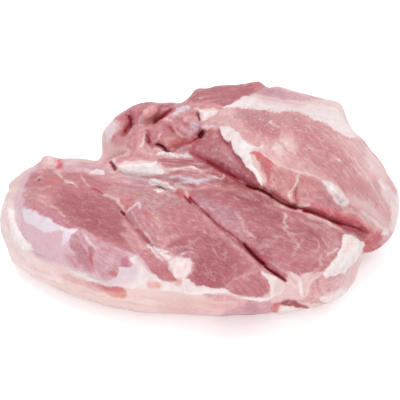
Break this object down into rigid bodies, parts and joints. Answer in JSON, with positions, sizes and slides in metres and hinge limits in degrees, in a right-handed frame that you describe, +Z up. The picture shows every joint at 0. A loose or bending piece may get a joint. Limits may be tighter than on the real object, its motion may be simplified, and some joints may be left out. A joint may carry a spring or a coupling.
{
  "type": "boneless pork shoulder",
  "caption": "Raw boned pork shoulder, a rounded cut of muscle lobes with deep seams, a boned-out pocket, fat rims and silverskin, lying on its flat outer side.",
  "frame": {"origin": "middle of the bottom of the part's box, on the surface it lies on", "axes": "+X along the length, towards the thick outer muscle; +Y across, from the smooth rounded front to the boned-out knob; +Z up"},
  "size_m": [0.367, 0.258, 0.1081],
  "materials": {
    "meat": "moist raw pink muscle with creamy fat and thin whitish silverskin"
  },
  "bodies": {
    "root": {"pork_shoulder": "meat"}
  },
  "joints": []
}
